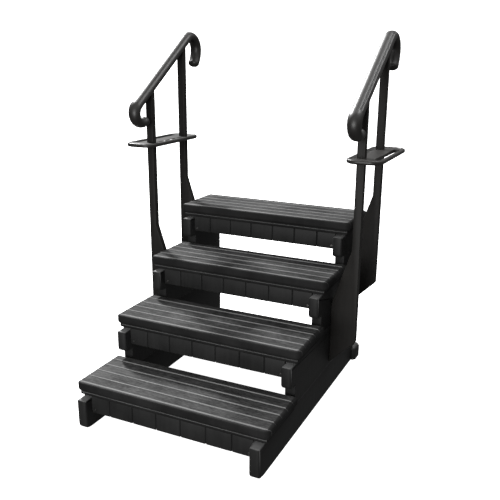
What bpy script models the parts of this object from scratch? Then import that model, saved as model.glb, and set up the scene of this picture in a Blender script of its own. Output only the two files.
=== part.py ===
"""Pool ladder: four resin steps on stacked side frames, with two handrails that carry towel trays.

Metres, +Z up. +X points to the climber's right, +Y up the stairs, and the ground is z = 0.
The pieces are laid out from the first tread's front edge, and one empty shifts them all so that
the origin stands at the middle of the footprint.
"""

import math

import bmesh
import bpy
from mathutils import Euler, Matrix, Vector

# Steps
STEP_COUNT = 4
STEP_RISE = 0.207
STEP_RUN = 0.311
TREAD_WIDTH = 0.914
TREAD_BACK_GAP = 0.019          # from a tread's back edge to the next tread's front edge
SKIRT_HEIGHT = 0.062
SKIRT_WALL = 0.007
DECK_THICKNESS = 0.012
NOSE_HEIGHT = 0.042             # rounded edge along the tread's front and ends
NOSE_REACH = 0.013
LIP_HEIGHT = 0.014              # band round the skirt's lower edge
LIP_REACH = 0.003
TREAD_CORNER_RADIUS = 0.012
STRIP_COUNT = 5                 # flat strips across the depth, parted by ridges
BACK_STRIP_DEPTH = 0.048        # last strip, the others being equal
RIDGE_WIDTH = 0.012
RIDGE_CREST = 0.005
RIDGE_HEIGHT = 0.0025

# Beams under each tread
RISER_THICKNESS = 0.020
RISER_SETBACK = 0.0005          # from the skirt's inner face to the riser's back plate
RISER_DROP = 0.142              # from the tread's top to the riser's lower edge
BLOCK_PITCH = 0.121             # spacing of the grooves that part the riser's blocks
BLOCK_REACH = 0.007             # how far the blocks stand forward of the back plate
BLOCK_GROOVE = 0.006
CROSSBAR_THICKNESS = 0.020
STIFFENER_WIDTH = 0.034
STIFFENER_HEIGHT = 0.036

# Side frames
PANEL_THICKNESS = 0.048
PANEL_SKIRT_CLEARANCE = 0.003   # between the panel's faces and the skirt that covers its top
LUG_REACH = 0.042               # how far each front lug stands forward of its tread
LUG_TOP_DROP = 0.008            # from the skirt's lower edge to the lug's top
LUG_BOTTOM_LIFT = 0.035         # from the lower tread's top to the lug's underside
LUG_RADIUS = 0.020
FOOT_HEIGHT = 0.075
FOOT_REACH = 0.022              # how far a rear foot stands out from the frame
FOOT_SPREAD = 0.072             # how far it reaches forward along the frame
FOOT_CHAMFER = 0.014

# Handrails
RAIL_OUTSET = 0.097             # from a tread's end to the rail's middle plane
RAIL_HEIGHT = 0.822             # rail's centre line above the tread, at a post
RAIL_RADIUS = 0.0240            # half of its height
RAIL_WIDENING = 1.28            # width over height
RAIL_FRONT_REACH = 0.119        # straight rail ahead of the front post
RAIL_BACK_REACH = 0.050         # straight rail behind the rear post
UPPER_SCROLL_RADIUS = 0.068
UPPER_TAIL_RADIUS = 0.110
UPPER_TAIL_END = math.radians(-38)
LOWER_BEND_RADIUS = 0.046
LOWER_TAIL_RADIUS = 0.055
LOWER_TAIL_START = math.radians(220)
LOWER_TAIL_END = math.radians(292)
ARC_STEP = math.radians(14)
POST_WIDTH = 0.038
POST_DEPTH = 0.032
POST_SETBACK = 0.160            # from a tread's front edge to its post's middle
FLARE_LIFT = 0.115              # flare's start above the tread
FLARE_DROP = 0.155              # where the flare reaches the frame, below the tread
FLARE_TOP_RADIUS = 0.040
FLARE_FOOT_RADIUS = 0.020
BRACKET_RADIUS = 0.012
SEAM_TO_CORNER = 0.068          # from the panel seam down to the bracket's outer corner
BOLT_SEAM_OFFSET = 0.045        # bolts sit this far above and below the panel seam

# Towel trays
TRAY_LIFT = 0.345               # tray's top above the top tread
TRAY_OUTSET = 0.0275            # tray's middle outboard of the rail's plane
TRAY_WIDTH = 0.169
TRAY_OVERHANG = 0.0945          # from a post's middle to the tray's end
TRAY_THICKNESS = 0.020
TRAY_CORNER_RADIUS = 0.058
TRAY_RIM = 0.019
TRAY_ROUNDING = 0.006
SLOT_WIDTH = 0.030              # towel slot outboard of the posts
SLOT_MARGIN = 0.070             # from the slot's end to the tray's
RECESS_WIDTH = 0.018            # shallow trough inboard of them
RECESS_DEPTH = 0.005

# Fasteners
BOLT_RADIUS = 0.004
BOLT_HEAD_RADIUS = 0.0085
BOLT_HEAD_HEIGHT = 0.005
BOLT_RECESS = 0.004             # depth of the head's seat below the bracket's face, past the head
BOLT_GRIP = 0.030               # length in the side panel
SCREW_RADIUS = 0.0025
SCREW_HEAD_RADIUS = 0.006
SCREW_HEAD_HEIGHT = 0.003
SCREW_GRIP = 0.016              # length in the panel's boss
SCREW_LIFT = 0.016              # screw above the riser's lower edge
BOSS_REACH = 0.036
BOSS_DEPTH = 0.026
BOSS_HEIGHT = 0.070

# Fits and meshing
GAP = 0.0003                    # between pieces that touch
WELD = 0.00001
OVERLAP = 0.002                 # how far a tool runs into, or past, the solid that it changes
ROUND_STEPS = 16
CORNER_STEPS = 4

# Sizes that follow
TREAD_DEPTH = STEP_RUN - TREAD_BACK_GAP
STRIP_PITCH = (TREAD_DEPTH - BACK_STRIP_DEPTH) / (STRIP_COUNT - 1)
DECK_UNDERSIDE = DECK_THICKNESS + GAP
PANEL_OUTER = TREAD_WIDTH / 2 - SKIRT_WALL - PANEL_SKIRT_CLEARANCE
PANEL_INNER = PANEL_OUTER - PANEL_THICKNESS
NECK_SETBACK = SKIRT_WALL + PANEL_SKIRT_CLEARANCE
SEAM_DROP = SKIRT_HEIGHT + GAP
FRAME_BACK = (STEP_COUNT - 1) * STEP_RUN + TREAD_DEPTH
TOP_TREAD = STEP_COUNT * STEP_RISE
RAIL_PLANE = TREAD_WIDTH / 2 + RAIL_OUTSET
RAIL_PITCH = math.atan2(STEP_RISE, STEP_RUN)
POST_LEVELS = (STEP_COUNT - 2, STEP_COUNT - 1)
BOLT_DROPS = (STEP_RISE + SEAM_DROP - BOLT_SEAM_OFFSET, STEP_RISE + SEAM_DROP + BOLT_SEAM_OFFSET)
RISER_FRONT = SKIRT_WALL + RISER_SETBACK
SCREW_OFFSET = BOSS_REACH / 2
TRAY_LENGTH = STEP_RUN + 2 * TRAY_OVERHANG
SLOT_LENGTH = TRAY_LENGTH - 2 * SLOT_MARGIN
SIDES = {'left': -1, 'right': 1}

# Lets pieces turn from the drawing plane: U to Y and V to Z, or U to X and V to Z.
STAND_ALONG_Y = (math.pi / 2, 0, math.pi / 2)
STAND_ALONG_X = (math.pi / 2, 0, 0)

collections = {}
materials = {}


def tread_front(level):
    """Y of a tread's front edge."""
    return level * STEP_RUN


def tread_top(level):
    """Height of a tread's deck."""
    return (level + 1) * STEP_RISE


def post_y(level):
    """Y of the middle of the post beside a tread."""
    return tread_front(level) + POST_SETBACK


def clear_scene():
    """Empty the scene and make the two collections and the empty that places everything."""
    for item in list(bpy.data.objects):
        bpy.data.objects.remove(item, do_unlink=True)
    for name in ('pool_ladder', 'cutters'):
        group = bpy.data.collections.new(name)
        bpy.context.scene.collection.children.link(group)
        collections[name] = group


def make_material(name, colour, roughness, metallic):
    """Plain Principled material."""
    material = bpy.data.materials.new(name)
    material.use_nodes = True
    shader = material.node_tree.nodes['Principled BSDF']
    shader.inputs['Base Color'].default_value = (*colour, 1)
    shader.inputs['Roughness'].default_value = roughness
    shader.inputs['Metallic'].default_value = metallic
    materials[name] = material


def add_part(name, mesh, material, location=(0, 0, 0), rotation=(0, 0, 0)):
    """Named object of the ladder, held by the placing empty."""
    part = bpy.data.objects.new(name, mesh)
    collections['pool_ladder'].objects.link(part)
    part.parent = collections['pool_ladder'].objects['ladder_origin']
    part.location = location
    part.rotation_euler = rotation
    part.data.materials.clear()
    part.data.materials.append(materials[material])
    return part


def add_tool(name, mesh, location=(0, 0, 0), rotation=(0, 0, 0)):
    """Solid that cuts or joins a part and isn't itself a part."""
    tool = bpy.data.objects.new(name, mesh)
    collections['cutters'].objects.link(tool)
    tool.parent = collections['pool_ladder'].objects['ladder_origin']
    tool.location = location
    tool.rotation_euler = rotation
    tool.hide_render = True
    tool.display_type = 'WIRE'
    return tool


def combine(part, tool, operation):
    """Boolean of a part with a tool."""
    modifier = part.modifiers.new(tool.name, 'BOOLEAN')
    modifier.operation = operation
    modifier.solver = 'EXACT'
    modifier.object = tool


def round_edges(part, width, segments=2):
    """Bevel of a part's sharp edges."""
    modifier = part.modifiers.new('rounding', 'BEVEL')
    modifier.width = width
    modifier.segments = segments
    modifier.limit_method = 'ANGLE'
    modifier.angle_limit = math.radians(40)


def finish_mesh(mesh):
    """Merge doubled points and turn the faces outwards."""
    work = bmesh.new()
    work.from_mesh(mesh)
    bmesh.ops.remove_doubles(work, verts=work.verts, dist=WELD)
    bmesh.ops.recalc_face_normals(work, faces=work.faces)
    work.to_mesh(mesh)
    work.free()


def evaluated_mesh(item):
    """The mesh that an object's curve or modifiers give."""
    bpy.context.view_layer.update()
    mesh = bpy.data.meshes.new_from_object(item.evaluated_get(bpy.context.evaluated_depsgraph_get()))
    finish_mesh(mesh)
    mesh.name = item.name
    return mesh


def box_mesh(name, low, high):
    """Box between two corners."""
    work = bmesh.new()
    bmesh.ops.create_cube(work, size=1)
    size = Vector(high) - Vector(low)
    middle = (Vector(high) + Vector(low)) / 2
    bmesh.ops.scale(work, vec=size, verts=work.verts)
    bmesh.ops.translate(work, vec=middle, verts=work.verts)
    mesh = bpy.data.meshes.new(name)
    work.to_mesh(mesh)
    work.free()
    return mesh


def side_box(name, side, low, high):
    """Box whose X runs outwards on the given side of the ladder."""
    across = sorted((side * low[0], side * high[0]))
    return box_mesh(name, (across[0], low[1], low[2]), (across[1], high[1], high[2]))


def rod_mesh(name, radius, start, end):
    """Round rod between two points, used for holes."""
    direction = Vector(end) - Vector(start)
    turn = direction.to_track_quat('Z', 'Y').to_matrix().to_4x4()
    place = Matrix.Translation((Vector(start) + Vector(end)) / 2) @ turn
    work = bmesh.new()
    bmesh.ops.create_cone(work, cap_ends=True, segments=ROUND_STEPS, radius1=radius, radius2=radius,
                          depth=direction.length, matrix=place)
    mesh = bpy.data.meshes.new(name)
    work.to_mesh(mesh)
    work.free()
    return mesh


def joined_mesh(name, meshes):
    """One mesh that holds several bodies, for a tool that acts in several places."""
    work = bmesh.new()
    for mesh in meshes:
        work.from_mesh(mesh)
    result = bpy.data.meshes.new(name)
    work.to_mesh(result)
    work.free()
    return result


def rounded_outline(corners):
    """Points of a closed outline whose (u, v, radius) corners are rounded by tangent arcs."""
    points = []
    for index, (u, v, radius) in enumerate(corners):
        corner = Vector((u, v))
        if radius == 0:
            points.append(corner)
            continue
        before = (Vector(corners[index - 1][:2]) - corner).normalized()
        after = (Vector(corners[(index + 1) % len(corners)][:2]) - corner).normalized()
        half = before.angle(after) / 2
        centre = corner + (before + after).normalized() * (radius / math.sin(half))
        start = (corner + before * (radius / math.tan(half)) - centre).normalized()
        end = (corner + after * (radius / math.tan(half)) - centre).normalized()
        for step in range(CORNER_STEPS + 1):
            points.append(centre + start.slerp(end, step / CORNER_STEPS) * radius)
    return points


def rectangle(width, length, radius, centre=(0, 0)):
    """Corners of a rectangle with rounded corners."""
    u, v = centre
    return [(u - width / 2, v - length / 2, radius), (u + width / 2, v - length / 2, radius),
            (u + width / 2, v + length / 2, radius), (u - width / 2, v + length / 2, radius)]


def plate_mesh(name, outlines, thickness):
    """Plate of the outlines' shape, the later ones being holes, with its thickness about Z = 0."""
    curve = bpy.data.curves.new(name, 'CURVE')
    curve.dimensions = '2D'
    curve.fill_mode = 'BOTH'
    curve.extrude = thickness / 2
    for corners in outlines:
        outline = rounded_outline(corners)
        spline = curve.splines.new('POLY')
        spline.points.add(len(outline) - 1)
        for point, place in zip(spline.points, outline):
            point.co = (place.x, place.y, 0, 1)
        spline.use_cyclic_u = True
    sketch = bpy.data.objects.new(name, curve)
    collections['cutters'].objects.link(sketch)
    mesh = evaluated_mesh(sketch)
    bpy.data.objects.remove(sketch)
    return mesh


def turned_mesh(name, profile):
    """Turned piece: (radius, height) points from the top of its axis down its outer side."""
    line = bpy.data.meshes.new(name)
    line.from_pydata([(radius, 0, height) for radius, height in profile],
                     [(index, index + 1) for index in range(len(profile) - 1)], [])
    blank = bpy.data.objects.new(name, line)
    collections['cutters'].objects.link(blank)
    screw = blank.modifiers.new('turn', 'SCREW')
    screw.steps = ROUND_STEPS
    screw.render_steps = ROUND_STEPS
    screw.use_merge_vertices = True
    screw.merge_threshold = WELD
    mesh = evaluated_mesh(blank)
    bpy.data.objects.remove(blank)
    return mesh


def shade_round(part):
    """Smooth shading with the sharp edges kept."""
    part.data.shade_smooth()
    part.data.set_sharp_from_angle(angle=math.radians(35))


def tread_mesh():
    """Hollow step open below: rounded nose, skirt with a lip band, and ridges that part the strips."""
    middle = TREAD_DEPTH / 2
    half = TREAD_WIDTH / 2
    shell = plate_mesh('tread', [rectangle(TREAD_WIDTH - 2 * LIP_REACH, TREAD_DEPTH - 2 * LIP_REACH,
                                           TREAD_CORNER_RADIUS, (0, middle))], SKIRT_HEIGHT)
    shell.transform(Matrix.Translation((0, 0, -SKIRT_HEIGHT / 2)))
    tread = add_part('tread', shell, 'resin')
    outline = rectangle(TREAD_WIDTH, TREAD_DEPTH, TREAD_CORNER_RADIUS, (0, middle))
    lip = plate_mesh('lip', [outline], LIP_HEIGHT)
    combine(tread, add_tool('tread_lip', lip, (0, 0, LIP_HEIGHT / 2 - SKIRT_HEIGHT)), 'UNION')
    slab = plate_mesh('slab', [rectangle(TREAD_WIDTH + 2 * NOSE_REACH, TREAD_DEPTH + 2 * NOSE_REACH,
                                         TREAD_CORNER_RADIUS + NOSE_REACH, (0, middle))], NOSE_HEIGHT)
    nose = add_tool('tread_nose', slab, (0, 0, -NOSE_HEIGHT / 2))
    round_edges(nose, NOSE_REACH, 3)
    combine(tread, nose, 'UNION')
    behind = box_mesh('behind', (-half - 2 * NOSE_REACH, TREAD_DEPTH, -SKIRT_HEIGHT - OVERLAP),
                      (half + 2 * NOSE_REACH, TREAD_DEPTH + 2 * NOSE_REACH, OVERLAP))
    combine(tread, add_tool('tread_behind', behind), 'DIFFERENCE')
    hollow = box_mesh('hollow', (SKIRT_WALL - half, SKIRT_WALL, -SKIRT_HEIGHT - OVERLAP),
                      (half - SKIRT_WALL, TREAD_DEPTH - SKIRT_WALL, -DECK_THICKNESS))
    combine(tread, add_tool('tread_hollow', hollow), 'DIFFERENCE')
    section = [(-RIDGE_WIDTH / 2, -OVERLAP, 0), (RIDGE_WIDTH / 2, -OVERLAP, 0), (RIDGE_WIDTH / 2, 0, 0),
               (RIDGE_CREST / 2, RIDGE_HEIGHT, 0), (-RIDGE_CREST / 2, RIDGE_HEIGHT, 0), (-RIDGE_WIDTH / 2, 0, 0)]
    ridge = plate_mesh('ridge', [section], TREAD_WIDTH - TREAD_CORNER_RADIUS)
    ridge.transform(Euler(STAND_ALONG_Y).to_matrix().to_4x4())
    ridges = []
    for index in range(1, STRIP_COUNT):
        copy = ridge.copy()
        copy.transform(Matrix.Translation((0, index * STRIP_PITCH, 0)))
        ridges.append(copy)
    combine(tread, add_tool('tread_ridges', joined_mesh('ridges', ridges)), 'UNION')
    mesh = evaluated_mesh(tread)
    bpy.data.objects.remove(tread)
    return mesh


def riser_mesh():
    """Front beam: a back plate, and blocks below the skirt parted by upright grooves."""
    half = PANEL_INNER - GAP
    low = -RISER_DROP
    block_top = -SKIRT_HEIGHT - GAP
    plate = box_mesh('riser', (-half, 0, low), (half, RISER_THICKNESS, -DECK_UNDERSIDE))
    riser = add_part('riser', plate, 'resin')
    blocks = box_mesh('blocks', (-half, -BLOCK_REACH, low), (half, OVERLAP, block_top))
    combine(riser, add_tool('riser_blocks', blocks), 'UNION')
    count = int(2 * half / BLOCK_PITCH)
    grooves = []
    for index in range(count):
        x = (index - (count - 1) / 2) * BLOCK_PITCH
        grooves.append(box_mesh('groove', (x - BLOCK_GROOVE / 2, -BLOCK_REACH - OVERLAP, low - OVERLAP),
                                (x + BLOCK_GROOVE / 2, -BLOCK_REACH / 4, block_top + OVERLAP)))
    combine(riser, add_tool('riser_grooves', joined_mesh('grooves', grooves)), 'DIFFERENCE')
    z = low + SCREW_LIFT
    holes = []
    for side in SIDES.values():
        x = side * (PANEL_INNER - SCREW_OFFSET)
        holes.append(rod_mesh('hole', SCREW_RADIUS + GAP, (x, -BLOCK_REACH - OVERLAP, z),
                              (x, RISER_THICKNESS + OVERLAP, z)))
    combine(riser, add_tool('riser_holes', joined_mesh('holes', holes)), 'DIFFERENCE')
    mesh = evaluated_mesh(riser)
    bpy.data.objects.remove(riser)
    return mesh


def panel_outline(level):
    """Side panel of one step: lug in front, notch over the lower tread, seams along its back."""
    front = tread_front(level)
    top = tread_top(level)
    neck = front + NECK_SETBACK
    lug_top = top - SKIRT_HEIGHT - LUG_TOP_DROP
    under_deck_back = front + TREAD_DEPTH - SKIRT_WALL - PANEL_SKIRT_CLEARANCE
    seam = top - SEAM_DROP
    if level == 0:
        base = 0
        corners = [(front - LUG_REACH, base, LUG_RADIUS)]
    else:
        base = tread_top(level - 1) - SEAM_DROP + GAP
        lug_bottom = tread_top(level - 1) + LUG_BOTTOM_LIFT
        corners = [(neck, base, 0), (neck, lug_bottom, 0), (front - LUG_REACH, lug_bottom, LUG_RADIUS)]
    corners += [(front - LUG_REACH, lug_top, LUG_RADIUS / 4), (neck, lug_top, 0), (neck, top - DECK_UNDERSIDE, 0),
                (under_deck_back, top - DECK_UNDERSIDE, 0), (under_deck_back, seam, 0), (FRAME_BACK, seam, 0),
                (FRAME_BACK, base, 0)]
    return corners


def bolt_places(level):
    """Heights of the two bracket bolts beside a tread, from the upper to the lower."""
    return [tread_top(level) - drop for drop in BOLT_DROPS]


def make_panels(side_name, side):
    """Stacked side panels with their screw bosses and bolt holes."""
    middle = side * (PANEL_INNER + PANEL_OUTER) / 2
    bolts = [(level, z) for level in POST_LEVELS for z in bolt_places(level)]
    for level in range(STEP_COUNT):
        name = f'{side_name}_side_panel_{level + 1}'
        mesh = plate_mesh(name, [panel_outline(level)], PANEL_THICKNESS)
        panel = add_part(name, mesh, 'resin', (middle, 0, 0), STAND_ALONG_Y)
        boss_front = tread_front(level) + RISER_FRONT + RISER_THICKNESS + GAP
        boss_low = tread_top(level) - RISER_DROP
        boss = side_box('boss', side, (PANEL_INNER - BOSS_REACH, boss_front, boss_low),
                        (PANEL_INNER + OVERLAP, boss_front + BOSS_DEPTH, boss_low + BOSS_HEIGHT))
        combine(panel, add_tool(name + '_boss', boss), 'UNION')
        x = side * (PANEL_INNER - SCREW_OFFSET)
        z = boss_low + SCREW_LIFT
        holes = [rod_mesh('hole', SCREW_RADIUS + GAP, (x, boss_front - OVERLAP, z),
                          (x, boss_front + SCREW_GRIP + GAP, z))]
        base = 0 if level == 0 else tread_top(level - 1) - SEAM_DROP
        for post_level, height in bolts:
            if base < height < tread_top(level) - SEAM_DROP:
                y = post_y(post_level)
                holes.append(rod_mesh('hole', BOLT_RADIUS + GAP, (side * (PANEL_OUTER + OVERLAP), y, height),
                                      (side * (PANEL_OUTER - BOLT_GRIP - GAP), y, height)))
        combine(panel, add_tool(name + '_holes', joined_mesh('holes', holes)), 'DIFFERENCE')


def make_rear_foot(side_name, side):
    """Corner foot that wraps the frame's lower back corner."""
    front = FRAME_BACK - FOOT_SPREAD
    block = side_box('foot', side, (PANEL_INNER, front, -FOOT_CHAMFER),
                     (PANEL_OUTER + FOOT_REACH, FRAME_BACK + FOOT_REACH, FOOT_HEIGHT))
    foot = add_part(f'{side_name}_rear_foot', block, 'resin')
    round_edges(foot, FOOT_CHAMFER, 1)
    corner = side_box('corner', side, (PANEL_INNER - OVERLAP, front - OVERLAP, -OVERLAP),
                      (PANEL_OUTER + GAP, FRAME_BACK + GAP, FOOT_HEIGHT + OVERLAP))
    combine(foot, add_tool(f'{side_name}_foot_corner', corner), 'DIFFERENCE')
    ground = side_box('ground', side, (PANEL_INNER - OVERLAP, front - OVERLAP, -2 * FOOT_CHAMFER),
                      (PANEL_OUTER + 2 * FOOT_REACH, FRAME_BACK + 2 * FOOT_REACH, 0))
    combine(foot, add_tool(f'{side_name}_foot_ground', ground), 'DIFFERENCE')


def rail_centre(y):
    """Height of the straight rail's centre line over a place along Y."""
    return tread_top(POST_LEVELS[0]) + RAIL_HEIGHT + (y - post_y(POST_LEVELS[0])) * math.tan(RAIL_PITCH)


def arc_points(centre, radius, start, end):
    """(y, z) points along an arc, from one angle to another."""
    steps = max(2, round(abs(end - start) / ARC_STEP))
    points = []
    for step in range(steps + 1):
        angle = start + (end - start) * step / steps
        points.append(Vector((centre.x + radius * math.cos(angle), centre.y + radius * math.sin(angle))))
    return points


def rail_path():
    """(y, z) centre line: lower hook, lower bend, straight rail, upper scroll and its tail."""
    inward = Vector((math.sin(RAIL_PITCH), -math.cos(RAIL_PITCH)))
    joint = RAIL_PITCH + math.pi / 2
    front = post_y(POST_LEVELS[0]) - RAIL_FRONT_REACH
    back = post_y(POST_LEVELS[1]) + RAIL_BACK_REACH
    bend = Vector((front, rail_centre(front))) + inward * LOWER_BEND_RADIUS
    hook_way = Vector((math.cos(LOWER_TAIL_START), math.sin(LOWER_TAIL_START)))
    hook = bend + hook_way * (LOWER_BEND_RADIUS - LOWER_TAIL_RADIUS)
    scroll = Vector((back, rail_centre(back))) + inward * UPPER_SCROLL_RADIUS
    tail = scroll + Vector((UPPER_SCROLL_RADIUS - UPPER_TAIL_RADIUS, 0))
    path = arc_points(hook, LOWER_TAIL_RADIUS, LOWER_TAIL_END, LOWER_TAIL_START)
    path += arc_points(bend, LOWER_BEND_RADIUS, LOWER_TAIL_START, joint)[1:]
    path += arc_points(scroll, UPPER_SCROLL_RADIUS, joint, 0)
    path += arc_points(tail, UPPER_TAIL_RADIUS, 0, UPPER_TAIL_END)[1:]
    return path


def make_rail(side_name, side):
    """Oval handrail along its path, and a domed cap on each of its ends."""
    path = [Vector((0, point.x, point.y)) for point in rail_path()]
    plane = Vector((side * RAIL_PLANE, 0, 0))
    widen = Matrix.Scale(RAIL_WIDENING, 4, (1, 0, 0))
    curve = bpy.data.curves.new(f'{side_name}_handrail', 'CURVE')
    curve.dimensions = '3D'
    curve.bevel_depth = RAIL_RADIUS
    curve.bevel_resolution = 2
    curve.use_fill_caps = True
    spline = curve.splines.new('POLY')
    spline.points.add(len(path) - 1)
    for point, place in zip(spline.points, path):
        point.co = (*place, 1)
    sketch = bpy.data.objects.new('rail_sketch', curve)
    collections['cutters'].objects.link(sketch)
    mesh = evaluated_mesh(sketch)
    bpy.data.objects.remove(sketch)
    mesh.transform(widen)
    rail = add_part(f'{side_name}_handrail', mesh, 'rail_resin', plane)
    shade_round(rail)
    quarter = [step * math.pi / 2 / CORNER_STEPS for step in range(CORNER_STEPS + 1)]
    profile = [(RAIL_RADIUS * math.sin(angle), RAIL_RADIUS * math.cos(angle)) for angle in quarter]
    profile.append((0, 0))
    for end_name, end, inner in (('lower', path[0], path[1]), ('upper', path[-1], path[-2])):
        outwards = (end - inner).normalized()
        turn = outwards.to_track_quat('Z', 'Y').to_euler()
        dome = turned_mesh('rail_cap', profile)
        dome.transform(widen)
        name = f'{side_name}_{end_name}_rail_cap'
        cap = add_part(name, dome, 'rail_resin', plane + end + outwards * GAP, turn)
        shade_round(cap)


def post_outline(side, level):
    """Post with its bracket: flared towards the frame, and cut back below at 45 degrees."""
    inner = RAIL_PLANE - POST_WIDTH / 2
    outer = RAIL_PLANE + POST_WIDTH / 2
    frame = PANEL_OUTER + GAP
    top = tread_top(level)
    corner = top - STEP_RISE - SEAM_DROP - SEAM_TO_CORNER
    crown = rail_centre(post_y(level) + POST_DEPTH / 2)
    corners = [(frame, corner - (outer - frame), 0), (outer, corner, BRACKET_RADIUS), (outer, crown, 0),
               (inner, crown, 0), (inner, top + FLARE_LIFT, FLARE_TOP_RADIUS),
               (frame, top - FLARE_DROP, FLARE_FOOT_RADIUS)]
    return [(side * u, v, radius) for u, v, radius in corners]


def make_posts(side_name, side):
    """Two posts, coped to the rail's underside and bored for their bolts, and those bolts."""
    head_seat = RAIL_PLANE + POST_WIDTH / 2 - BOLT_HEAD_HEIGHT - BOLT_RECESS
    grip_end = PANEL_OUTER - BOLT_GRIP
    length = head_seat - grip_end
    bolt = turned_mesh('bolt', [(0, BOLT_HEAD_HEIGHT), (BOLT_HEAD_RADIUS * 0.7, BOLT_HEAD_HEIGHT),
                                (BOLT_HEAD_RADIUS, BOLT_HEAD_HEIGHT / 2), (BOLT_HEAD_RADIUS, GAP),
                                (BOLT_RADIUS, GAP), (BOLT_RADIUS, -length), (0, -length)])
    for place, level in zip(('front', 'rear'), POST_LEVELS):
        name = f'{side_name}_{place}_post'
        y = post_y(level)
        mesh = plate_mesh(name, [post_outline(side, level)], POST_DEPTH)
        post = add_part(name, mesh, 'resin', (0, y, 0), STAND_ALONG_X)
        along = Vector((0, math.cos(RAIL_PITCH), math.sin(RAIL_PITCH))) * POST_DEPTH * 3
        centre = Vector((side * RAIL_PLANE, y, rail_centre(y)))
        cope = rod_mesh('cope', RAIL_RADIUS + GAP, -along, along)
        cope.transform(Matrix.Scale(RAIL_WIDENING, 4, (1, 0, 0)))
        combine(post, add_tool(name + '_cope', cope, centre), 'DIFFERENCE')
        above = box_mesh('above', (-POST_WIDTH, -2 * POST_DEPTH, 0), (POST_WIDTH, 2 * POST_DEPTH, POST_WIDTH))
        combine(post, add_tool(name + '_above', above, centre, (RAIL_PITCH, 0, 0)), 'DIFFERENCE')
        tools = []
        for number, z in enumerate(bolt_places(level), start=1):
            tools.append(rod_mesh('bore', BOLT_RADIUS + GAP, (side * (PANEL_OUTER - OVERLAP), y, z),
                                  (side * (head_seat + OVERLAP), y, z)))
            tools.append(rod_mesh('seat', BOLT_HEAD_RADIUS + GAP, (side * head_seat, y, z),
                                  (side * (RAIL_PLANE + POST_WIDTH), y, z)))
            turn = (0, side * math.pi / 2, 0)
            item = add_part(f'{side_name}_{place}_bolt_{number}', bolt, 'steel', (side * head_seat, y, z), turn)
            shade_round(item)
        for number, tool in enumerate(tools):
            combine(post, add_tool(f'{name}_bore_{number}', tool), 'DIFFERENCE')


def make_tray(side_name, side):
    """Plate on the two posts, with a long towel slot outboard of them and a shallow trough inboard."""
    front, back = [post_y(level) for level in POST_LEVELS]
    place = Vector((side * (RAIL_PLANE + TRAY_OUTSET), (front + back) / 2,
                    TOP_TREAD + TRAY_LIFT - TRAY_THICKNESS / 2))
    slot = side * (TRAY_WIDTH / 2 - TRAY_RIM - SLOT_WIDTH / 2)
    trough = side * (TRAY_RIM + RECESS_WIDTH / 2 - TRAY_WIDTH / 2)
    outlines = [rectangle(TRAY_WIDTH, TRAY_LENGTH, TRAY_CORNER_RADIUS),
                rectangle(SLOT_WIDTH, SLOT_LENGTH, SLOT_WIDTH / 2 - WELD, (slot, 0))]
    name = f'{side_name}_towel_tray'
    tray = add_part(name, plate_mesh(name, outlines, TRAY_THICKNESS), 'rail_resin', place)
    round_edges(tray, TRAY_ROUNDING)
    recess = plate_mesh('recess', [rectangle(RECESS_WIDTH, SLOT_LENGTH, RECESS_WIDTH / 2 - WELD)],
                        2 * RECESS_DEPTH)
    recess_place = place + Vector((trough, 0, TRAY_THICKNESS / 2))
    combine(tray, add_tool(name + '_recess', recess, recess_place), 'DIFFERENCE')
    half = Vector((POST_WIDTH / 2 + GAP, POST_DEPTH / 2 + GAP, TRAY_THICKNESS))
    middles = [Vector((side * RAIL_PLANE, y, place.z)) for y in (front, back)]
    sockets = joined_mesh('sockets', [box_mesh('socket', middle - half, middle + half) for middle in middles])
    combine(tray, add_tool(name + '_sockets', sockets), 'DIFFERENCE')


def make_steps():
    """Treads, and the beams under them, for each level."""
    tread = tread_mesh()
    riser = riser_mesh()
    half = PANEL_INNER - GAP
    crossbar = box_mesh('crossbar', (-half, -CROSSBAR_THICKNESS, -RISER_DROP), (half, 0, -DECK_UNDERSIDE))
    stiffener = box_mesh('stiffener', (-half, -STIFFENER_WIDTH / 2, -DECK_UNDERSIDE - STIFFENER_HEIGHT),
                         (half, STIFFENER_WIDTH / 2, -DECK_UNDERSIDE))
    screw = turned_mesh('screw', [(0, SCREW_HEAD_HEIGHT), (SCREW_HEAD_RADIUS * 0.7, SCREW_HEAD_HEIGHT),
                                  (SCREW_HEAD_RADIUS, SCREW_HEAD_HEIGHT / 3), (SCREW_HEAD_RADIUS, GAP),
                                  (SCREW_RADIUS, GAP),
                                  (SCREW_RADIUS, -BLOCK_REACH - RISER_THICKNESS - SCREW_GRIP),
                                  (0, -BLOCK_REACH - RISER_THICKNESS - SCREW_GRIP)])
    for level in range(STEP_COUNT):
        number = level + 1
        front = tread_front(level)
        top = tread_top(level)
        back_beam = front + TREAD_DEPTH - SKIRT_WALL - PANEL_SKIRT_CLEARANCE
        add_part(f'tread_{number}', tread, 'resin', (0, front, top))
        add_part(f'riser_{number}', riser, 'resin', (0, front + RISER_FRONT, top))
        add_part(f'rear_crossbar_{number}', crossbar, 'resin', (0, back_beam, top))
        add_part(f'tread_stiffener_{number}', stiffener, 'resin', (0, front + TREAD_DEPTH / 2, top))
        for side_name, side in SIDES.items():
            place = (side * (PANEL_INNER - SCREW_OFFSET), front + RISER_FRONT - BLOCK_REACH,
                     top - RISER_DROP + SCREW_LIFT)
            item = add_part(f'{side_name}_riser_screw_{number}', screw, 'steel', place, (math.pi / 2, 0, 0))
            shade_round(item)


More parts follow.
